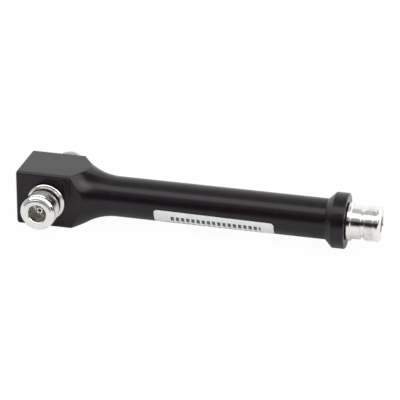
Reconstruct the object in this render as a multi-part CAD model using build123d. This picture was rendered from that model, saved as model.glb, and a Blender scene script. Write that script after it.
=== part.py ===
from build123d import *
from math import acos, cos, degrees, exp, radians, sin, sqrt, tan
import os

# Two-way coaxial power splitter: one input jack on the end of a long tube, two output jacks
# on opposite sides of a square block. All sizes are in millimetres.
# The pieces are laid out with the centre line of the long bore on the x axis and x = 0 at the
# closed end of the square block. The finished part stands on z = 0, centred over the origin.

# Housing, milled and turned from square bar
bar_side = 25.4
bar_length = 24.8
bar_edge_chamfer = 0.8
bar_end_chamfer = 0.6
tube_diameter = 18.2
tube_wall = 2.4
sweep_radius = 25.4
closed_end_wall = 5.0
flange_diameter = 24.8
flange_width = 5.7
flange_cone_angle = 45.0
flange_edge_chamfer = 0.4

# Stepped inner conductor: each step's impedance in ohms sets its diameter in the bore
air_line_ohms = 59.96
step_ohms = (28.0, 35.4, 44.6)
input_ohms = 50.0
quarter_wave = 41.0
input_line_length = 4.2
rod_overhang = 4.5
rod_gap_to_jack = 1.5
rod_hole_clearance = 0.03
rod_hole_end_gap = 0.4

# Support bead, pushed along the rod up to the shoulder of its last step
bead_thickness = 4.0
bead_clearance = 0.05

# Outside of a jack, measured outwards from the face that it screws into
jack_from_end = 14.5
boss_length = 5.0
boss_ledge = 0.75
boss_clearance = 0.05
boss_end_gap = 0.2
gasket_thickness = 0.5
gasket_clearance = 0.1
gasket_inset = 0.3
ring_overhang = 1.05
ring_thickness = 1.8
ring_chamfer = 0.4
barrel_diameter = 15.0
barrel_length = 4.1
neck_diameter = 12.8
neck_length = 1.6
thread_diameter = 15.84
thread_length = 4.5
thread_chamfer = 0.6
relief_diameter = 14.6
relief_length = 0.5
nose_diameter = 15.8
nose_length = 2.2
nose_taper_length = 1.7
lip_diameter = 11.4

# Inside of a jack, measured inwards from its front rim
mouth_diameter = 8.9
mouth_depth = 0.5
mating_bore_diameter = 8.08
mating_bore_depth = 9.1
line_bore_diameter = 7.0
line_bore_length = 1.9
insulator_diameter = 10.0
insulator_length = 5.5
insulator_clearance = 0.02
bush_clearance = 0.01

# Centre contact of a jack, with a slotted socket in front and a plain pin behind
contact_diameter = 3.04
contact_tip_recess = 4.15
contact_gap_to_axis = 2.2
contact_chamfer = 0.25
socket_diameter = 1.66
socket_depth = 6.0
socket_lead_in = 0.15
slot_count = 4
slot_width = 0.25
slot_end_wall = 1.0
barb_height = 0.3
barb_length = 0.9

# Label, wrapped on the lower front of the tube
label_length = 54.2
label_height = 11.4
label_thickness = 0.1
label_glue = 0.02
label_corner_radius = 1.5
label_top_angle = 1.8
label_shift = -2.0

# Housing sizes that follow
tube_radius = tube_diameter / 2
flange_radius = flange_diameter / 2
bore_radius = tube_radius - tube_wall
corner_radius = bar_side / sqrt(2)
sweep_angle = acos(1 - (corner_radius - tube_radius) / sweep_radius)
sweep_end = bar_length + sweep_radius * sin(sweep_angle)

# Stations along the bore: the steps of the rod set the length of the housing
step_ends = [jack_from_end + (i + 1) * quarter_wave for i in range(len(step_ohms))]
rod_start = jack_from_end - rod_overhang
rod_end = step_ends[-1] + input_line_length
housing_length = rod_end + rod_gap_to_jack + boss_length
flange_start = housing_length - flange_width
cone_start = flange_start - (flange_radius - tube_radius) / tan(radians(flange_cone_angle))
rod_radii = [bore_radius * exp(-ohms / air_line_ohms) for ohms in (*step_ohms, input_ohms)]

# Stations of a jack above the face that it screws into
boss_radius = bore_radius + boss_ledge
ring_radius = boss_radius + ring_overhang
ring_front = gasket_thickness + ring_thickness
barrel_front = ring_front + barrel_length
neck_front = barrel_front + neck_length
thread_front = neck_front + thread_length
relief_front = thread_front + relief_length
jack_height = relief_front + nose_length
mating_floor = jack_height - mating_bore_depth
insulator_front = mating_floor - line_bore_length
insulator_back = insulator_front - insulator_length
contact_tip = jack_height - contact_tip_recess
contact_rear = contact_gap_to_axis - bar_side / 2
barb_back = (insulator_front + insulator_back - barb_length) / 2

overall_length = housing_length + jack_height
on_floor = Pos(-overall_length / 2, 0, bar_side / 2)

# Each jack's own z axis points out of the face that it screws into
jack_places = {
    "input": Plane((housing_length, 0, 0), z_dir=(1, 0, 0)).location,
    "output_front": Plane((jack_from_end, -bar_side / 2, 0), z_dir=(0, -1, 0)).location,
    "output_rear": Plane((jack_from_end, bar_side / 2, 0), z_dir=(0, 1, 0)).location,
}


def turned_on_z(outline):
    """A solid turned about z from (radius, height) points."""
    return revolve(make_face(Plane.XZ * Polyline(*outline, close=True)), Axis.Z)


def turned_on_x(outline):
    """A solid turned about x from (station, radius) points."""
    return revolve(make_face(Polyline(*outline, close=True)), Axis.X)


def ring_on_z(inner, outer, bottom, top):
    """A plain ring about z."""
    return turned_on_z([(inner, bottom), (outer, bottom), (outer, top), (inner, top)])


def sweep_point(angle):
    """A point of the hollow sweep, by its angle back from the tube."""
    return (sweep_end - sweep_radius * sin(angle), tube_radius + sweep_radius * (1 - cos(angle)))


def housing_turning():
    """What the lathe leaves: untouched bar, hollow sweep, tube, cone and flange."""
    before = Polyline((0, 0), (0, bar_side), (bar_length, bar_side), sweep_point(sweep_angle))
    sweep = ThreePointArc(sweep_point(sweep_angle), sweep_point(sweep_angle / 2), sweep_point(0))
    after = Polyline(
        sweep_point(0),
        (cone_start, tube_radius),
        (flange_start, flange_radius),
        (housing_length - flange_edge_chamfer, flange_radius),
        (housing_length, flange_radius - flange_edge_chamfer),
        (housing_length, 0),
        (0, 0),
    )
    return revolve(make_face([*before.edges(), *sweep.edges(), *after.edges()]), Axis.X)


def square_bar():
    """Bar stock with its long edges and its closed end chamfered."""
    bar = Pos(housing_length / 2, 0, 0) * Box(housing_length, bar_side, bar_side)
    bar = chamfer(bar.edges().filter_by(Axis.X), bar_edge_chamfer)
    return chamfer(bar.faces().sort_by(Axis.X)[0].edges(), bar_end_chamfer)


def jack_seat():
    """Threaded seat for a jack's boss, and below it the line bore down to the long bore."""
    seat_floor = -boss_length - boss_end_gap
    seat = ring_on_z(0, boss_radius, seat_floor, boss_length)
    return seat + ring_on_z(0, line_bore_diameter / 2, -bar_side / 2, seat_floor)


def housing():
    body = square_bar() & housing_turning()
    long_bore = turned_on_x([
        (closed_end_wall, 0),
        (closed_end_wall, bore_radius),
        (housing_length, bore_radius),
        (housing_length, 0),
    ])
    body -= long_bore
    for place in jack_places.values():
        body -= place * jack_seat()
    return body


def inner_conductor():
    """Stepped rod with a cross hole at the junction and a socket in its input end."""
    shoulders = [rod_start, *step_ends, rod_end]
    outline = [(rod_start, 0)]
    for start, end, radius in zip(shoulders, shoulders[1:], rod_radii):
        outline += [(start, radius), (end, radius)]
    outline.append((rod_end, 0))
    rod = turned_on_x(outline)
    hole_radius = contact_diameter / 2 + rod_hole_clearance
    rod -= Pos(jack_from_end, 0, 0) * Rot(X=90) * Cylinder(hole_radius, bar_side)
    hole_floor = housing_length + contact_rear - rod_hole_end_gap
    rod -= turned_on_x([(hole_floor, 0), (hole_floor, hole_radius), (rod_end, hole_radius), (rod_end, 0)])
    return rod


def support_bead():
    """Insulating disc that holds the rod on the centre line, against the rod's shoulder."""
    inner = rod_radii[-2] + bead_clearance
    outer = bore_radius - bead_clearance
    back = step_ends[-2]
    front = back + bead_thickness
    return turned_on_x([(back, inner), (back, outer), (front, outer), (front, inner)])


def jack_shell():
    """Threaded outer conductor of a jack, with the boss that screws into the housing."""
    boss = boss_radius - boss_clearance
    barrel = barrel_diameter / 2
    neck = neck_diameter / 2
    thread = thread_diameter / 2
    relief = relief_diameter / 2
    nose = nose_diameter / 2
    outside = [
        (boss, -boss_length),
        (boss, gasket_thickness),
        (ring_radius, gasket_thickness),
        (ring_radius, ring_front - ring_chamfer),
        (ring_radius - ring_chamfer, ring_front),
        (barrel, ring_front),
        (barrel, barrel_front),
        (neck, barrel_front),
        (neck, neck_front),
        (thread - thread_chamfer, neck_front),
        (thread, neck_front + thread_chamfer),
        (thread, thread_front),
        (relief, thread_front),
        (relief, relief_front),
        (nose, relief_front),
        (nose, jack_height - nose_taper_length),
        (lip_diameter / 2, jack_height),
    ]
    inside = [
        (mouth_diameter / 2, jack_height),
        (mating_bore_diameter / 2, jack_height - mouth_depth),
        (mating_bore_diameter / 2, mating_floor),
        (line_bore_diameter / 2, mating_floor),
        (line_bore_diameter / 2, insulator_front),
        (insulator_diameter / 2, insulator_front),
        (insulator_diameter / 2, -boss_length),
    ]
    return turned_on_z(outside + inside)


def gasket():
    """Flat rubber washer between a jack's ring and the housing."""
    return ring_on_z(boss_radius + gasket_clearance, ring_radius - gasket_inset, 0, gasket_thickness)


def insulator():
    """Plastic bush round the contact, with a recess for the contact's barb."""
    inner = contact_diameter / 2 + insulator_clearance
    outer = insulator_diameter / 2 - insulator_clearance
    return turned_on_z([
        (inner, insulator_back),
        (outer, insulator_back),
        (outer, insulator_front),
        (inner, insulator_front),
        (inner, barb_back + barb_length),
        (inner + barb_height, barb_back),
        (inner, barb_back),
    ])


def rear_bush():
    """Metal sleeve pressed in behind the insulator."""
    outer = insulator_diameter / 2 - bush_clearance
    return ring_on_z(line_bore_diameter / 2, outer, -boss_length, insulator_back)


def contact():
    """Centre contact: slotted socket, barb and rear pin, turned from one rod."""
    outer = contact_diameter / 2
    socket = socket_diameter / 2
    body = turned_on_z([
        (0, contact_rear),
        (outer, contact_rear),
        (outer, barb_back),
        (outer + barb_height, barb_back),
        (outer, barb_back + barb_length),
        (outer, contact_tip - contact_chamfer),
        (outer - contact_chamfer, contact_tip),
        (socket + socket_lead_in, contact_tip),
        (socket, contact_tip - socket_lead_in),
        (socket, contact_tip - socket_depth),
        (0, contact_tip - socket_depth),
    ])
    slot_height = socket_depth - slot_end_wall
    slot = Pos(contact_diameter / 2, 0, contact_tip - slot_height / 2)
    for i in range(slot_count):
        body -= Rot(Z=i * 360 / slot_count) * slot * Box(contact_diameter, slot_width, slot_height)
    return body


def label_corner(sheet_radius):
    """What is cut off one corner of the label: a small square less its rounded corner."""
    reach = label_corner_radius + label_thickness
    square = Box(reach, reach, sheet_radius, align=(Align.MIN, Align.MIN, Align.CENTER))
    return square - Cylinder(label_corner_radius, sheet_radius)


def label():
    """Thin label, curved to the tube, its upper edge just below the front of the tube."""
    inner = tube_radius + label_glue
    outer = inner + label_thickness
    middle = (sweep_end + cone_start) / 2 + label_shift
    start = middle - label_length / 2
    end = middle + label_length / 2
    height_angle = degrees(label_height / outer)
    inset_angle = degrees(label_corner_radius / outer)
    edge = Polyline((start, -inner), (start, -outer), (end, -outer), (end, -inner), close=True)
    sheet = revolve(make_face(edge), Axis.X, revolution_arc=height_angle)
    for station, along in ((start + label_corner_radius, -1), (end - label_corner_radius, 1)):
        for angle, side in ((inset_angle, 1), (height_angle - inset_angle, -1)):
            seat = Plane((station, -outer, 0), x_dir=(along, 0, 0), z_dir=(0, -along * side, 0))
            sheet -= Rot(X=angle) * seat.location * label_corner(outer)
    return Rot(X=label_top_angle) * sheet


def pieces():
    """Every separate piece, by name, in its place."""
    made = {
        "housing": housing(),
        "inner_conductor": inner_conductor(),
        "support_bead": support_bead(),
        "label": label(),
    }
    jack_pieces = {
        "jack_shell": jack_shell(),
        "gasket": gasket(),
        "insulator": insulator(),
        "bush": rear_bush(),
        "contact": contact(),
    }
    for jack, place in jack_places.items():
        for kind, shape in jack_pieces.items():
            made[f"{jack}_{kind}"] = place * shape
    return made


os.makedirs("parts", exist_ok=True)
for name, shape in pieces().items():
    export_step(on_floor * shape, f"parts/{name}.step")
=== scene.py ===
import bpy
from math import acos, atan2, cos, pi, radians, sin, sqrt, tan
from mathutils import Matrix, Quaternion, Vector


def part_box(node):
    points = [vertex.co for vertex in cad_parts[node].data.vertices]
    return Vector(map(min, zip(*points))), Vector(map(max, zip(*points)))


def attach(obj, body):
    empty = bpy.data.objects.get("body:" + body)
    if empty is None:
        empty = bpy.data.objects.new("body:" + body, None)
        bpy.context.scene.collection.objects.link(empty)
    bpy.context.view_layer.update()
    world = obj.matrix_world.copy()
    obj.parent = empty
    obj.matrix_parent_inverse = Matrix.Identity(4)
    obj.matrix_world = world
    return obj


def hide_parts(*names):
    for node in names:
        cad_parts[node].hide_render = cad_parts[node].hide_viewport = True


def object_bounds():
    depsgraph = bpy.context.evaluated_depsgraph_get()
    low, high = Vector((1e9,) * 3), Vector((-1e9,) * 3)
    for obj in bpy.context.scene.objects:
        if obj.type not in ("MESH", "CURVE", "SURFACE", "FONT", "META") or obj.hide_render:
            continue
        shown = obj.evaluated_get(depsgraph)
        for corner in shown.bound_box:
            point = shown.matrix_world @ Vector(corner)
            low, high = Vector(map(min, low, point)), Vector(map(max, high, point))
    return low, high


# Looks of the coaxial power splitter. Blender works in metres, the sizes below are in millimetres.
mm = 0.001
sameSpot = 0.0002  # points nearer than this are one

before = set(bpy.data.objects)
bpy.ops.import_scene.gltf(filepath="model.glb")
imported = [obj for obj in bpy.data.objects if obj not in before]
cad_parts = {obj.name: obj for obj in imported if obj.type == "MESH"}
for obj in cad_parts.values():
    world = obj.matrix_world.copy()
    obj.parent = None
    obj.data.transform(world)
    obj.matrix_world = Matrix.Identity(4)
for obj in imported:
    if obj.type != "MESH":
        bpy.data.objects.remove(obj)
cadLow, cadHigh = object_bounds()
housingLow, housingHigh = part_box("housing")
axisHeight = (housingLow.z + housingHigh.z) / 2
barHalf = (housingHigh.z - housingLow.z) / 2
jackX = sum(corner.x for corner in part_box("output_front_jack_shell")) / 2

# Where each jack is screwed in, and how its z axis is turned to point out of the housing
jackPlaces = {
    "input": {"place": (housingHigh.x, 0, axisHeight), "turn": (0, pi / 2, 0)},
    "output_front": {"place": (jackX, -barHalf, axisHeight), "turn": (pi / 2, 0, 0)},
    "output_rear": {"place": (jackX, barHalf, axisHeight), "turn": (-pi / 2, 0, 0)},
}


# Everyday helpers

def deselectAll():
    bpy.ops.object.select_all(action="DESELECT")


def pick(*pieces):
    deselectAll()
    for piece in pieces:
        piece.select_set(True)
    bpy.context.view_layer.objects.active = pieces[0]


# Goes into edit mode with everything selected, or back out of it
def editMode(on):
    bpy.ops.object.mode_set(mode="EDIT" if on else "OBJECT")
    if on:
        bpy.ops.mesh.select_all(action="SELECT")


# Selects the vertices that a test on their place accepts, and leaves edit mode on
def selectWhere(piece, test):
    pick(piece)
    bpy.ops.object.mode_set(mode="EDIT")
    bpy.ops.mesh.select_mode(type="VERT")
    bpy.ops.mesh.select_all(action="DESELECT")
    bpy.ops.object.mode_set(mode="OBJECT")
    for vertex in piece.data.vertices:
        vertex.select = test(vertex.co)
    bpy.ops.object.mode_set(mode="EDIT")


# A turned shape about z. A circle is drawn at the first ring, then extruded and scaled to each next one.
# A ring is (radius, height).
def turnRings(name, rings, sides):
    radius, height = rings[0]
    deselectAll()
    bpy.ops.mesh.primitive_circle_add(vertices=sides, radius=radius * mm)
    piece = bpy.context.object
    piece.name = piece.data.name = name
    editMode(True)
    bpy.ops.transform.translate(value=(0, 0, height * mm))
    for nextRadius, nextHeight in rings[1:]:
        step = (0, 0, (nextHeight - height) * mm)
        bpy.ops.mesh.extrude_region_move(TRANSFORM_OT_translate={"value": step})
        share = nextRadius / radius
        bpy.ops.transform.resize(value=(share, share, 1), center_override=(0, 0, 0))
        radius, height = nextRadius, nextHeight
    editMode(False)
    return piece


# Merges what lies on itself, caps open ends where asked and turns the faces outwards
def closeUp(piece, capEnds=False):
    pick(piece)
    editMode(True)
    bpy.ops.mesh.remove_doubles(threshold=sameSpot * mm)
    if capEnds:
        bpy.ops.mesh.fill_holes(sides=0)
    bpy.ops.mesh.normals_make_consistent(inside=False)
    editMode(False)


def softenEdges(piece, width, fromAngle=28, segments=2):
    pick(piece)
    bevel = piece.modifiers.new("softened edges", "BEVEL")
    bevel.width = width * mm
    bevel.segments = segments
    bevel.limit_method = "ANGLE"
    bevel.angle_limit = radians(fromAngle)
    bevel.use_clamp_overlap = False
    bpy.ops.object.modifier_apply(modifier=bevel.name)


def smoothFaces(piece, upTo=32):
    pick(piece)
    bpy.ops.object.shade_smooth_by_angle(angle=radians(upTo))
    weighted = piece.modifiers.new("even shading", "WEIGHTED_NORMAL")
    weighted.keep_sharp = True
    bpy.ops.object.modifier_apply(modifier=weighted.name)


def cutAway(piece, *cutters):
    for cutter in cutters:
        pick(piece)
        cut = piece.modifiers.new("cut", "BOOLEAN")
        cut.operation = "DIFFERENCE"
        cut.solver = "EXACT"
        cut.object = cutter
        bpy.ops.object.modifier_apply(modifier=cut.name)
        bpy.data.objects.remove(cutter)


def putAt(piece, place, turn):
    pick(piece)
    piece.location = place
    piece.rotation_euler = turn
    bpy.ops.object.transform_apply(location=True, rotation=True, scale=True)


def copyOf(piece, name):
    twin = piece.copy()
    twin.data = piece.data.copy()
    twin.name = twin.data.name = name
    bpy.context.scene.collection.objects.link(twin)
    return twin


# Hands a finished piece to the frame
def settle(piece, node, material):
    piece.data.materials.clear()
    piece.data.materials.append(material)
    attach(piece, "root")
    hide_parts(node)


# Materials

def newMaterial(name):
    material = bpy.data.materials.new(name)
    material.use_nodes = True
    tree = material.node_tree
    return material, tree, tree.nodes["Principled BSDF"]


# Links a socket to an input, or sets the input to a plain value
def feed(tree, socket, value):
    if hasattr(value, "is_output"):
        tree.links.new(value, socket)
    else:
        socket.default_value = value


def addNode(tree, kind, inputs=(), **settings):
    node = tree.nodes.new(kind)
    for key, value in settings.items():
        setattr(node, key, value)
    for key, value in dict(inputs).items():
        feed(tree, node.inputs[key], value)
    return node


def objectPlace(tree):
    return addNode(tree, "ShaderNodeTexCoord").outputs["Object"]


# Result of a math node
def reckon(tree, operation, first, second):
    return addNode(tree, "ShaderNodeMath", {0: first, 1: second}, operation=operation).outputs[0]


def noise(tree, place, size, detail=3.0):
    inputs = {"Vector": place, "Scale": 1 / (size * mm), "Detail": detail}
    return addNode(tree, "ShaderNodeTexNoise", inputs).outputs["Fac"]


# Maps a value from one range to another. Most noise lies between 0.3 and 0.7, which is the usual range.
def spread(tree, value, low, high, fromLow=0.3, fromHigh=0.7):
    inputs = {"Value": value, "From Min": fromLow, "From Max": fromHigh, "To Min": low, "To Max": high}
    return addNode(tree, "ShaderNodeMapRange", inputs).outputs["Result"]


def blendColours(tree, share, first, second):
    node = addNode(tree, "ShaderNodeMix", data_type="RGBA")
    for index, value in {0: share, 6: first, 7: second}.items():  # the sockets that mix colours
        feed(tree, node.inputs[index], value)
    return node.outputs[2]


def bump(tree, height, strength, depth):
    inputs = {"Height": height, "Strength": strength, "Distance": depth * mm}
    return addNode(tree, "ShaderNodeBump", inputs).outputs["Normal"]


blackCoat = {
    "dark": (0.0072, 0.0044, 0.0066, 1),
    "light": (0.0100, 0.0064, 0.0094, 1),
    "roughness": (0.20, 0.25),
    "specular": 0.38,
    "mottleSize": 3.0,
    "grainSize": 0.26,
    "grainStrength": 0.28,
    "grainDepth": 0.02,
}


def makeBlackCoat():
    material, tree, shader = newMaterial("blackCoat")
    place = objectPlace(tree)
    mottle = noise(tree, place, blackCoat["mottleSize"])
    grain = noise(tree, place, blackCoat["grainSize"], detail=2.0)
    colour = blendColours(tree, spread(tree, mottle, 0, 1), blackCoat["dark"], blackCoat["light"])
    relief = bump(tree, grain, blackCoat["grainStrength"], blackCoat["grainDepth"])
    tree.links.new(colour, shader.inputs["Base Color"])
    tree.links.new(spread(tree, mottle, *blackCoat["roughness"]), shader.inputs["Roughness"])
    tree.links.new(relief, shader.inputs["Normal"])
    shader.inputs["Specular IOR Level"].default_value = blackCoat["specular"]
    return material


nickelPlate = {
    "bright": (0.94, 0.93, 0.905, 1),
    "dull": (0.87, 0.855, 0.825, 1),
    "roughness": (0.13, 0.18),
    "cloudSize": 4.0,
    "markWidth": 0.09,
    "markStrength": 0.05,
}
turningMarks = {"distortion": 0.6, "detail": 2.0, "depth": 0.01}
waveFactor = 20  # the wave texture multiplies its scale by this


# Bright plated metal, with fine turning marks that run round the piece's own axis. Two marks lie 2 pi times
# the mark's width apart.
def makePlate(name, look, axis):
    material, tree, shader = newMaterial(name)
    place = objectPlace(tree)
    clouds = noise(tree, place, look["cloudSize"])
    inputs = {"Vector": place, "Scale": 1 / (look["markWidth"] * mm * waveFactor),
              "Distortion": turningMarks["distortion"], "Detail": turningMarks["detail"]}
    waves = addNode(tree, "ShaderNodeTexWave", inputs, wave_type="BANDS", bands_direction=axis)
    colour = blendColours(tree, spread(tree, clouds, 0, 1), look["dull"], look["bright"])
    relief = bump(tree, waves.outputs["Fac"], look["markStrength"], turningMarks["depth"])
    tree.links.new(colour, shader.inputs["Base Color"])
    tree.links.new(spread(tree, clouds, *look["roughness"]), shader.inputs["Roughness"])
    tree.links.new(relief, shader.inputs["Normal"])
    shader.inputs["Metallic"].default_value = 1.0
    return material


goldPlate = {
    "bright": (0.95, 0.92, 0.85, 1),
    "dull": (0.90, 0.84, 0.70, 1),
    "roughness": (0.16, 0.24),
    "cloudSize": 0.5,
    "markWidth": 0.06,
    "markStrength": 0.04,
}
silverPlate = {
    "bright": (0.88, 0.87, 0.84, 1),
    "dull": (0.76, 0.74, 0.70, 1),
    "roughness": (0.18, 0.28),
    "cloudSize": 4.0,
    "markWidth": 0.12,
    "markStrength": 0.05,
}
plasticLook = {
    "tones": ((0.86, 0.86, 0.83, 1), (0.76, 0.76, 0.72, 1)),
    "roughness": (0.42, 0.5),
    "cloudSize": 3.0,
    "grainSize": 0.2,
}
rubberLook = {
    "tones": ((0.010, 0.010, 0.010, 1), (0.022, 0.022, 0.022, 1)),
    "roughness": (0.62, 0.75),
    "cloudSize": 1.0,
    "grainSize": 0.1,
}
matteGrain = {"strength": 0.2, "depth": 0.02}


# Matte pieces: two close tones in clouds, with a fine grain
def makeMatte(name, look):
    material, tree, shader = newMaterial(name)
    place = objectPlace(tree)
    clouds = noise(tree, place, look["cloudSize"])
    grain = noise(tree, place, look["grainSize"], detail=2.0)
    colour = blendColours(tree, spread(tree, clouds, 0, 1), *look["tones"])
    relief = bump(tree, grain, matteGrain["strength"], matteGrain["depth"])
    tree.links.new(colour, shader.inputs["Base Color"])
    tree.links.new(spread(tree, clouds, *look["roughness"]), shader.inputs["Roughness"])
    tree.links.new(relief, shader.inputs["Normal"])
    return material


labelLook = {
    "film": (0.86, 0.86, 0.87, 1),
    "filmShade": (0.82, 0.82, 0.83, 1),
    "ink": (0.07, 0.07, 0.08, 1),
    "roughness": (0.30, 0.38),
    "cloudSize": 5.0,
    "barPitch": 2.35,
    "barGap": 0.85,
    "barWander": 0.5,  # how far the bars stray along their row
    "wanderSize": 12.0,  # over how far they do, in thousandths of the label
    "rows": (  # from and to are measured down the label, start and end along it
        {"from": 2.8, "to": 5.6, "start": 7.2, "end": 48.4},
        {"from": 7.2, "to": 8.4, "start": 4.5, "end": 49.5},
    ),
}


# One where a value lies between two limits, otherwise zero
def between(tree, value, low, high):
    above = reckon(tree, "GREATER_THAN", value, low)
    below = reckon(tree, "LESS_THAN", value, high)
    return reckon(tree, "MULTIPLY", above, below)


# Light grey film with rows of plain upright bars, laid out on the label's own flat map in millimetres
def makeLabelFilm(length, height):
    material, tree, shader = newMaterial("labelFilm")
    place = objectPlace(tree)
    flat = addNode(tree, "ShaderNodeUVMap", uv_map="UVMap").outputs["UV"]
    axes = addNode(tree, "ShaderNodeSeparateXYZ", {"Vector": flat})
    along = reckon(tree, "MULTIPLY", axes.outputs["X"], length)
    down = reckon(tree, "MULTIPLY", axes.outputs["Y"], height)
    wander = reckon(tree, "MULTIPLY", noise(tree, flat, labelLook["wanderSize"]), labelLook["barWander"])
    shifted = reckon(tree, "ADD", along, wander)
    phase = reckon(tree, "MODULO", shifted, labelLook["barPitch"])
    bars = reckon(tree, "GREATER_THAN", phase, labelLook["barGap"])
    inRows = 0.0
    for row in labelLook["rows"]:
        inHeight = between(tree, down, row["from"], row["to"])
        inLength = between(tree, along, row["start"], row["end"])
        inRows = reckon(tree, "MAXIMUM", inRows, reckon(tree, "MULTIPLY", inHeight, inLength))
    printed = reckon(tree, "MULTIPLY", inRows, bars)
    clouds = noise(tree, place, labelLook["cloudSize"])
    film = blendColours(tree, spread(tree, clouds, 0, 1), labelLook["filmShade"], labelLook["film"])
    tree.links.new(blendColours(tree, printed, film, labelLook["ink"]), shader.inputs["Base Color"])
    tree.links.new(spread(tree, clouds, *labelLook["roughness"]), shader.inputs["Roughness"])
    return material


# Housing: square bar that sweeps into the tube, then cone and flange, bored from the flange end

housing = {
    "barSide": 25.4,
    "barLength": 24.8,
    "edgeChamfer": 0.8,
    "endChamfer": 0.6,
    "tubeRadius": 9.1,
    "sweepRadius": 25.4,
    "sweepRows": 20,
    "columns": 128,
    "coneStart": 139.2,
    "flangeStart": 142.5,
    "flangeRadius": 12.4,
    "flangeChamfer": 0.4,
    "length": 148.2,
    "boreRadius": 6.7,
    "closedEnd": 5.0,
    "seatRadius": 7.45,
    "seatDepth": 5.2,
    "seatSides": 96,
    "lineBore": 3.5,
    "lineSides": 64,
    "edgeSoftness": 0.14,
}


# Angle of a column of vertices, spaced so that columns lie on the edges of the bar's chamfers. Each eighth
# of the way round is laid out the same, every other one mirrored.
def columnAngle(column):
    half = housing["barSide"] / 2
    perSector = housing["columns"] // 8
    chamferStart = atan2(half - housing["edgeChamfer"], half)
    sector, step = divmod(column, perSector)
    mirrored = sector % 2 == 1
    if mirrored:
        step = perSector - step
    angle = chamferStart * step / (perSector - 1) if step < perSector else pi / 4
    return (sector + 1) * pi / 4 - angle if mirrored else sector * pi / 4 + angle


# Distance from the axis to the bar's outline, drawn in by an inset
def barRadius(angle, inset=0.0):
    half = housing["barSide"] / 2 - inset
    fromFlat = abs((angle + pi / 4) % (pi / 2) - pi / 4)
    toFlat = half / cos(fromFlat)
    toChamfer = (2 * half - housing["edgeChamfer"]) / sqrt(2) / cos(pi / 4 - fromFlat)
    return min(toFlat, toChamfer)


# Spaces the columns for the bar, and moves the closed end and the rows of the sweep out to its outline
def squareUp(piece, sweepEnd):
    size = housing
    tube, barLength, sweepRadius = size["tubeRadius"], size["barLength"], size["sweepRadius"]
    columnStep = 2 * pi / size["columns"]
    slack = 0.01
    for vertex in piece.data.vertices:
        station = vertex.co.z / mm
        column = round(atan2(vertex.co.y, vertex.co.x) / columnStep) % size["columns"]
        angle = columnAngle(column)
        radius = sqrt(vertex.co.x ** 2 + vertex.co.y ** 2) / mm
        if station < sweepEnd - slack and radius > size["boreRadius"] + slack:
            if station < barLength - slack:  # the two rings of the closed end
                radius = barRadius(angle, size["endChamfer"] - station)
            else:  # rows of the sweep, each column from where it leaves the bar
                start = acos(1 - (barRadius(angle) - tube) / sweepRadius)
                bend = start * (sweepEnd - station) / (sweepEnd - barLength)
                station = sweepEnd - sweepRadius * sin(bend)
                radius = tube + sweepRadius * (1 - cos(bend))
        vertex.co = Vector((radius * cos(angle), radius * sin(angle), station)) * mm


# Cuts a round hole on the line of the two output jacks. Its middle in y, radius and depth are in metres.
def boreAcross(piece, y, radius, depth, sides):
    deselectAll()
    bpy.ops.mesh.primitive_cylinder_add(vertices=sides, radius=radius, depth=depth,
                                        location=(jackX, y, axisHeight), rotation=(pi / 2, 0, 0))
    cutAway(piece, bpy.context.object)


def makeHousing():
    size = housing
    tube, rows, barLength = size["tubeRadius"], size["sweepRows"], size["barLength"]
    flange, length, seatFloor = size["flangeRadius"], size["length"], size["length"] - size["seatDepth"]
    steepest = acos(1 - (size["barSide"] / sqrt(2) - tube) / size["sweepRadius"])
    sweepEnd = barLength + size["sweepRadius"] * sin(steepest)
    rings = [(tube, 0), (tube, size["endChamfer"])]
    rings += [(tube, barLength + (sweepEnd - barLength) * row / rows) for row in range(rows)]
    rings += [
        (tube, sweepEnd),
        (tube, size["coneStart"]),
        (flange, size["flangeStart"]),
        (flange, length - size["flangeChamfer"]),
        (flange - size["flangeChamfer"], length),
        (size["seatRadius"], length),
        (size["seatRadius"], seatFloor),
        (size["boreRadius"], seatFloor),
        (size["boreRadius"], size["closedEnd"]),
    ]
    piece = turnRings("splitter_housing", rings, size["columns"])
    squareUp(piece, sweepEnd)
    closeUp(piece, capEnds=True)
    putAt(piece, (housingLow.x, 0, axisHeight), (0, pi / 2, 0))
    softenEdges(piece, size["edgeSoftness"])
    seatRadius, seatHeight = size["seatRadius"] * mm, size["seatDepth"] * 2 * mm
    for side in (-1, 1):  # half of each cutter stands out of the block
        boreAcross(piece, side * barHalf, seatRadius, seatHeight, size["seatSides"])
    boreAcross(piece, 0, size["lineBore"] * mm, barHalf * 3, size["lineSides"])
    smoothFaces(piece, 30)
    return piece


# Jack shell: ring, barrel, neck, thread, relief groove and nose outside, bore inside.
# Heights are measured out of the face that it screws into.

shell = {
    "sides": 96,
    "bossRadius": 7.4,
    "bossLength": 5.0,
    "ringRadius": 8.5,
    "ringBack": 0.5,
    "ringFront": 2.3,
    "ringChamfer": 0.4,
    "barrelRadius": 7.5,
    "barrelFront": 6.4,
    "neckRadius": 6.4,
    "neckFront": 8.0,
    "threadRadius": 7.92,
    "threadRoot": 7.3,
    "threadPitch": 1.058,
    "threadChamfer": 0.6,
    "threadFront": 12.5,
    "crestShare": 1 / 8,  # width of the thread's flat crest, as a share of its pitch
    "reliefRadius": 7.22,
    "reliefFront": 13.0,
    "noseRadius": 7.9,
    "rim": ((7.9, 1.2), (7.15, 0.45), (6.75, 0.45), (6.44, 0.14), (5.7, 0.0)),  # radius, depth from front
    "front": 15.2,
    "mouthRadius": 4.36,
    "mouthDepth": 0.36,
    "boreRadius": 4.04,
    "boreFloor": 6.1,
    "lineBore": 3.5,
    "insulatorFront": 4.2,
    "insulatorBore": 5.0,
    "edgeSoftness": 0.09,
}
threadHalfAngle = radians(30)
threadMerge = 0.001  # points of the thread nearer than this become one
levelSlack = 0.004  # a point this near to a height lies on it


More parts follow.
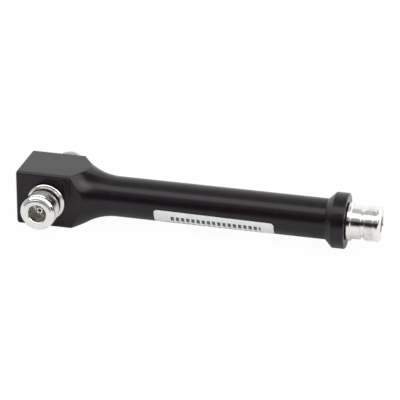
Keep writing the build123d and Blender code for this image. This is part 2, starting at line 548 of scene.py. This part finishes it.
# Radius of the thread's surface at a height and an angle round it. Each turn is a flat root, a flank of
# 30 degrees, a crest and the flank back down, and both ends are turned down to a chamfer.
def threadReach(height, angle):
    pitch, crest = shell["threadPitch"], shell["threadRadius"]
    turn = (height - shell["neckFront"]) / pitch - angle / (2 * pi)
    fromCrest = (abs(turn % 1 - 0.5) - shell["crestShare"] / 2) * pitch
    reach = crest - max(fromCrest, 0) / tan(threadHalfAngle)
    fromEnd = min(height - shell["neckFront"], shell["threadFront"] - height)
    return min(max(reach, shell["threadRoot"]), crest - shell["threadChamfer"] + fromEnd)


# Thread: a zigzag line is swept once round along its helix. What reaches past either end is set back to it.
def cutThread():
    pitch, crest, root = shell["threadPitch"], shell["threadRadius"], shell["threadRoot"]
    bottom, top = shell["neckFront"], shell["threadFront"]
    flank = (crest - root) * tan(threadHalfAngle)
    land = pitch * shell["crestShare"]
    rootLand = (pitch - land - 2 * flank) / 2
    moves = [rootLand, flank, land, flank, rootLand]
    turns = int((top - bottom) / pitch) + 3  # one to start below the bottom, two to reach past the top
    deselectAll()
    bpy.ops.mesh.primitive_plane_add(size=mm)
    piece = bpy.context.object
    editMode(True)
    bpy.ops.mesh.merge(type="CENTER")  # the plane becomes a single point
    bpy.ops.transform.translate(value=(root * mm, 0, (bottom - pitch) * mm))
    for upward in moves * turns:
        bpy.ops.mesh.extrude_region_move(TRANSFORM_OT_translate={"value": (0, 0, upward * mm)})
    editMode(False)
    helix = piece.modifiers.new("helix", "SCREW")
    helix.angle = 2 * pi
    helix.screw_offset = pitch * mm
    helix.steps = helix.render_steps = shell["sides"]
    bpy.ops.object.modifier_apply(modifier=helix.name)
    slack = 0.02
    for vertex in piece.data.vertices:
        angle = atan2(vertex.co.y, vertex.co.x)
        height = vertex.co.z / mm
        if height < bottom + slack:
            height = bottom
        elif height > top - slack:
            height = top
        reach = threadReach(height, angle)
        vertex.co = Vector((reach * cos(angle), reach * sin(angle), height)) * mm
    editMode(True)
    bpy.ops.mesh.remove_doubles(threshold=threadMerge * mm)
    bpy.ops.mesh.flip_normals()  # outwards, as on the body that it is bridged to
    editMode(False)
    return piece


def makeShell():
    size = shell
    rings = [  # from the top of the thread over the nose, down the bore, and up the outside to the neck
        (size["reliefRadius"], size["threadFront"]),
        (size["reliefRadius"], size["reliefFront"]),
        (size["noseRadius"], size["reliefFront"]),
    ]
    rings += [(radius, size["front"] - depth) for radius, depth in size["rim"]]
    rings += [
        (size["mouthRadius"], size["front"]),
        (size["boreRadius"], size["front"] - size["mouthDepth"]),
        (size["boreRadius"], size["boreFloor"]),
        (size["lineBore"], size["boreFloor"]),
        (size["lineBore"], size["insulatorFront"]),
        (size["insulatorBore"], size["insulatorFront"]),
        (size["insulatorBore"], -size["bossLength"]),
        (size["bossRadius"], -size["bossLength"]),
        (size["bossRadius"], size["ringBack"]),
        (size["ringRadius"], size["ringBack"]),
        (size["ringRadius"], size["ringFront"] - size["ringChamfer"]),
        (size["ringRadius"] - size["ringChamfer"], size["ringFront"]),
        (size["barrelRadius"], size["ringFront"]),
        (size["barrelRadius"], size["barrelFront"]),
        (size["neckRadius"], size["barrelFront"]),
        (size["neckRadius"], size["neckFront"]),
    ]
    body = turnRings("jack_shell_master", rings, size["sides"])
    closeUp(body)
    softenEdges(body, size["edgeSoftness"])
    thread = cutThread()
    pick(body, thread)
    bpy.ops.object.join()
    for height in (size["neckFront"], size["threadFront"]):  # the thread is bridged to both of its ends
        selectWhere(body, lambda place: abs(place.z - height * mm) < levelSlack * mm)
        bpy.ops.mesh.bridge_edge_loops()
        bpy.ops.object.mode_set(mode="OBJECT")
    closeUp(body)
    smoothFaces(body, 32)
    return body


# Centre contact: slotted socket in front, with fingers that are closed in a little, and a plain rear

contact = {
    "sides": 48,
    "radius": 1.52,
    "tip": 11.05,
    "rear": -10.5,
    "tipRounding": 0.16,
    "roundingSteps": 3,
    "socketRadius": 0.83,
    "socketDepth": 6.0,
    "leadIn": 0.08,
    "slotLength": 5.0,
    "slotWidth": 0.25,
    "fingerRows": 6,
    "closing": 0.03,
    "shoulder": 1.82,
    "shoulderBack": 1.0,
    "shoulderFront": 1.9,
}


def makeContact():
    size = contact
    radius, tip, rounding = size["radius"], size["tip"], size["tipRounding"]
    base = tip - size["slotLength"]
    rowCount, fingerLength = size["fingerRows"], size["slotLength"] - rounding
    heights = [base + fingerLength * row / (rowCount - 1) for row in range(rowCount)]
    rings = [
        (radius, size["rear"]),
        (radius, size["shoulderBack"]),
        (size["shoulder"], size["shoulderBack"]),
        (radius, size["shoulderFront"]),
    ]
    rings += [(radius, height) for height in heights]
    for step in range(1, size["roundingSteps"] + 1):
        bend = step * (pi / 2) / size["roundingSteps"]
        rings.append((radius - rounding * (1 - cos(bend)), tip - rounding * (1 - sin(bend))))
    rings.append((size["socketRadius"] + size["leadIn"], tip))
    rings.append((size["socketRadius"], tip - size["leadIn"]))
    rings += [(size["socketRadius"], height) for height in reversed(heights)]
    rings.append((size["socketRadius"], tip - size["socketDepth"]))
    piece = turnRings("contact_master", rings, size["sides"])
    closeUp(piece, capEnds=True)
    cutters = []
    for turn in (0, pi / 2):
        deselectAll()
        bpy.ops.mesh.primitive_cube_add(size=mm, location=(0, 0, tip * mm))
        cutter = bpy.context.object
        cutter.dimensions = (4 * radius * mm, size["slotWidth"] * mm, 2 * size["slotLength"] * mm)
        cutter.rotation_euler = (0, 0, turn)
        bpy.ops.object.transform_apply(location=True, rotation=True, scale=True)
        cutters.append(cutter)
    cutAway(piece, *cutters)
    for vertex in piece.data.vertices:  # fingers lean in towards the tip
        along = (vertex.co.z / mm - base) / size["slotLength"]
        if along > 0:
            squeeze = 1 - size["closing"] * along ** 2
            vertex.co.x *= squeeze
            vertex.co.y *= squeeze
    smoothFaces(piece, 32)
    return piece


# Gasket: flat rubber washer with rounded rims, under the ring of each jack

gasket = {
    "sides": 96,
    "inner": 7.55,
    "outer": 8.2,
    "thickness": 0.5,
    "rounding": 0.12,
}


def makeGasket():
    inner, outer, top = gasket["inner"], gasket["outer"], gasket["thickness"]
    rings = [(inner, 0), (outer, 0), (outer, top), (inner, top), (inner, 0)]
    piece = turnRings("gasket_master", rings, gasket["sides"])
    closeUp(piece)
    softenEdges(piece, gasket["rounding"], segments=3)
    smoothFaces(piece, 32)
    return piece


# Label: a flat film with rounded corners, cut into strips and wrapped on the lower front of the tube

label = {
    "height": 11.4,
    "thickness": 0.1,
    "glue": 0.02,
    "cornerRadius": 1.5,
    "cornerSteps": 6,
    "topAngle": 4.8,
    "skew": -0.63,
    "strips": 24,
}


def makeLabel():
    low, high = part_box("label")
    length = (high.x - low.x) / mm
    height, inner = label["height"], housing["tubeRadius"] + label["glue"]
    outer = inner + label["thickness"]
    deselectAll()
    bpy.ops.mesh.primitive_plane_add(size=mm, calc_uvs=True)
    piece = bpy.context.object
    piece.name = piece.data.name = "tube_label"
    editMode(True)
    bpy.ops.transform.resize(value=(length, height, 1))
    bpy.ops.mesh.bevel(offset=label["cornerRadius"] * mm, segments=label["cornerSteps"], affect="VERTICES")
    for strip in range(1, label["strips"]):
        bpy.ops.mesh.select_all(action="SELECT")
        station = (strip / label["strips"] - 0.5) * height * mm
        bpy.ops.mesh.bisect(plane_co=(0, station, 0), plane_no=(0, 1, 0))
    bpy.ops.mesh.select_all(action="SELECT")
    bpy.ops.transform.rotate(value=radians(label["skew"]), orient_axis="Z", center_override=(0, 0, 0))
    editMode(False)
    for vertex in piece.data.vertices:  # wrapped from its upper edge downwards
        angle = radians(label["topAngle"]) + (vertex.co.y / mm + height / 2) / outer
        x = vertex.co.x + (low.x + high.x) / 2
        vertex.co = Vector((x, -inner * mm * cos(angle), axisHeight - inner * mm * sin(angle)))
    pick(piece)
    wall = piece.modifiers.new("film", "SOLIDIFY")
    wall.thickness = label["thickness"] * mm
    wall.offset = 1
    bpy.ops.object.modifier_apply(modifier=wall.name)
    smoothFaces(piece, 40)
    return piece, length


# Build everything

print("materials")
coat = makeBlackCoat()
nickel = {"input": makePlate("nickelPlateInput", nickelPlate, "X"),
          "output": makePlate("nickelPlateOutputs", nickelPlate, "Y")}
gold = {"input": makePlate("goldPlateInput", goldPlate, "X"),
        "output": makePlate("goldPlateOutputs", goldPlate, "Y")}
silver = makePlate("silverPlate", silverPlate, "X")
plastic = makeMatte("whiteInsulator", plasticLook)
rubber = makeMatte("blackRubber", rubberLook)

print("housing")
settle(makeHousing(), "housing", coat)

print("label")
tubeLabel, labelLength = makeLabel()
settle(tubeLabel, "label", makeLabelFilm(labelLength, label["height"]))

print("jacks")
masters = {
    "jack_shell": (makeShell(), "nickel_plate", nickel),
    "contact": (makeContact(), "gold_plate", gold),
    "gasket": (makeGasket(), "black_rubber", {"input": rubber, "output": rubber}),
}
for kind, (master, slotName, finishes) in masters.items():
    for jack, where in jackPlaces.items():
        piece = copyOf(master, f"{jack}_{kind}_piece")
        putAt(piece, where["place"], where["turn"])
        settle(piece, f"{jack}_{kind}", finishes[jack.split("_")[0]])
    bpy.data.objects.remove(master)

print("inner pieces")
innerFinish = {"inner_conductor": silver, "support_bead": plastic}
for jack in jackPlaces:
    innerFinish[f"{jack}_insulator"] = plastic
    innerFinish[f"{jack}_bush"] = nickel[jack.split("_")[0]]
for node, finish in innerFinish.items():
    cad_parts[node].data.materials.clear()
    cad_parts[node].data.materials.append(finish)

# Studio: a pale floor, a surround that is white with a dark gap in front, and three lamps. Here the sizes
# are in metres. The camera sees nearly plain white all round.

print("studio")

# The floor glows in part. The shares say how much: as the camera sees it, and as the object mirrors it, near
# and far in front. The fade runs between two places in y. Beyond it the glow is dark in mirror images.
floorLook = {
    "size": 6.0,
    "tone": (0.86, 0.86, 0.86, 1),
    "seenShare": 0.965,
    "nearShare": 0.15,
    "farShare": 0.75,
    "fade": (-0.15, -0.025),
}


def makeFloor():
    deselectAll()
    bpy.ops.mesh.primitive_plane_add(size=floorLook["size"], location=(0, 0, cadLow.z))
    floor = bpy.context.object
    floor.name = "floor"
    material, tree, shader = newMaterial("paleFloor")
    shader.inputs["Base Color"].default_value = floorLook["tone"]
    shader.inputs["Roughness"].default_value = 1.0
    shader.inputs["Specular IOR Level"].default_value = 0.0
    rays = addNode(tree, "ShaderNodeLightPath").outputs
    ahead = addNode(tree, "ShaderNodeSeparateXYZ", {"Vector": objectPlace(tree)}).outputs["Y"]
    forCamera = reckon(tree, "MULTIPLY", rays["Is Camera Ray"], floorLook["seenShare"])
    mirrorShare = spread(tree, ahead, floorLook["farShare"], floorLook["nearShare"], *floorLook["fade"])
    forMirror = reckon(tree, "MULTIPLY", rays["Is Glossy Ray"], mirrorShare)
    share = reckon(tree, "MAXIMUM", forCamera, forMirror)
    nearby = spread(tree, ahead, 0, 1, *floorLook["fade"])
    strength = reckon(tree, "MAXIMUM", nearby, rays["Is Camera Ray"])
    white = addNode(tree, "ShaderNodeEmission", {"Strength": strength}).outputs[0]
    mixed = addNode(tree, "ShaderNodeMixShader", {0: share, 1: shader.outputs[0], 2: white}).outputs[0]
    tree.links.new(mixed, tree.nodes["Material Output"].inputs["Surface"])
    floor.data.materials.append(material)


# Tones of the surround by angle round the tube: 0 is the front horizon, 90 overhead, 180 the back. To the
# right it has a dark gap overhead with a crisp edge, which shows on the sweep. The middle turns into the
# right between two values of a direction's x.
surround = {
    "middle": (
        (-180, 1.00), (-12, 0.80), (-3, 0.01), (22, 0.01), (34, 0.30), (58, 0.50),
        (88, 0.54), (112, 0.54), (130, 0.95), (180, 1.08),
    ),
    "right": (
        (-180, 1.00), (-12, 0.80), (-3, 0.01), (22, 0.01), (34, 0.30), (58, 0.50),
        (80, 0.16), (121, 0.12), (123, 1.40), (180, 1.20),
    ),
    "turnsRight": (0.10, 0.35),
}


def toneRamp(tree, turn, tones):
    ramp = addNode(tree, "ShaderNodeValToRGB", {"Fac": turn})
    stops = ramp.color_ramp.elements
    while len(stops) < len(tones):
        stops.new(0.5)  # its real place follows below
    for stop, (degreesRound, tone) in zip(stops, tones):
        stop.position = (degreesRound + 180) / 360
        stop.color = (tone, tone, tone, 1)
    return ramp.outputs["Color"]


def makeSurround():
    world = bpy.data.worlds.new("surround")
    bpy.context.scene.world = world
    world.use_nodes = True
    tree = world.node_tree
    direction = addNode(tree, "ShaderNodeTexCoord").outputs["Generated"]
    axes = addNode(tree, "ShaderNodeSeparateXYZ", {"Vector": direction})
    front = reckon(tree, "MULTIPLY", axes.outputs["Y"], -1.0)
    angle = reckon(tree, "ARCTAN2", axes.outputs["Z"], front)
    turn = spread(tree, angle, 0, 1, -pi, pi)
    middle, right = (toneRamp(tree, turn, surround[side]) for side in ("middle", "right"))
    toRight = spread(tree, axes.outputs["X"], 0, 1, *surround["turnsRight"])
    tones = blendColours(tree, toRight, middle, right)
    seen = addNode(tree, "ShaderNodeLightPath").outputs["Is Camera Ray"]
    background = tree.nodes["Background"]
    tree.links.new(blendColours(tree, seen, tones, (1, 1, 1, 1)), background.inputs["Color"])
    background.inputs["Strength"].default_value = 1.0


# A long softbox above the front, a weak fill low in front that no mirror image shows, and a panel at the
# right that lights the sweep. Angle is the height above the horizon in degrees, aside the turn to the right.
lamps = {
    "softbox": {
        "angle": 66.0,
        "aside": 0.0,
        "distance": 0.9,
        "length": 2.4,
        "width": 0.45,
        "watts": 5.3,
        "mirrored": True,
    },
    "fill": {
        "angle": 9.0,
        "aside": 0.0,
        "distance": 1.2,
        "length": 1.6,
        "width": 0.30,
        "watts": 3.0,
        "mirrored": False,
    },
    "sidePanel": {
        "angle": 36.0,
        "aside": 76.0,
        "distance": 1.0,
        "length": 1.1,
        "width": 0.55,
        "watts": 3.8,
        "mirrored": True,
    },
}


def makeLamp(name, look):
    angle, aside = radians(look["angle"]), radians(look["aside"])
    place = Vector((sin(aside) * cos(angle), -cos(aside) * cos(angle), sin(angle))) * look["distance"]
    bpy.ops.object.light_add(type="AREA", location=place, rotation=(pi / 2 - angle, 0, aside))
    lamp = bpy.context.object
    lamp.name = name
    lamp.visible_glossy = look["mirrored"]
    lamp.data.shape = "RECTANGLE"
    lamp.data.size = look["length"]
    lamp.data.size_y = look["width"]
    lamp.data.energy = look["watts"]


makeFloor()
makeSurround()
for lampName, lampLook in lamps.items():
    makeLamp(lampName, lampLook)

# Camera, fitted to the photograph. Angles are in degrees and lengths in millimetres.

view = {
    "azimuth": 13.03,
    "elevation": 24.44,
    "roll": 0.71,
    "distance": 889.5,
    "target": (2.72, 0, 12.7),
    "lens": 180.0,
    "shift": (-0.0153, 0.0143),
    "nearLimit": 50.0,
}


def makeCamera():
    azimuth, elevation, roll = (radians(view[key]) for key in ("azimuth", "elevation", "roll"))
    back = Vector((sin(azimuth) * cos(elevation), -cos(azimuth) * cos(elevation), sin(elevation)))
    bpy.ops.object.camera_add(location=(Vector(view["target"]) + back * view["distance"]) * mm)
    camera = bpy.context.object
    camera.rotation_mode = "QUATERNION"
    camera.rotation_quaternion = (-back).to_track_quat("-Z", "Y")
    camera.rotation_quaternion.rotate(Quaternion(back, roll))
    camera.data.lens = view["lens"]
    camera.data.shift_x, camera.data.shift_y = view["shift"]
    camera.data.clip_start = view["nearLimit"] * mm
    bpy.context.scene.camera = camera


makeCamera()
bpy.context.scene.view_settings.view_transform = "Standard"

print("done")
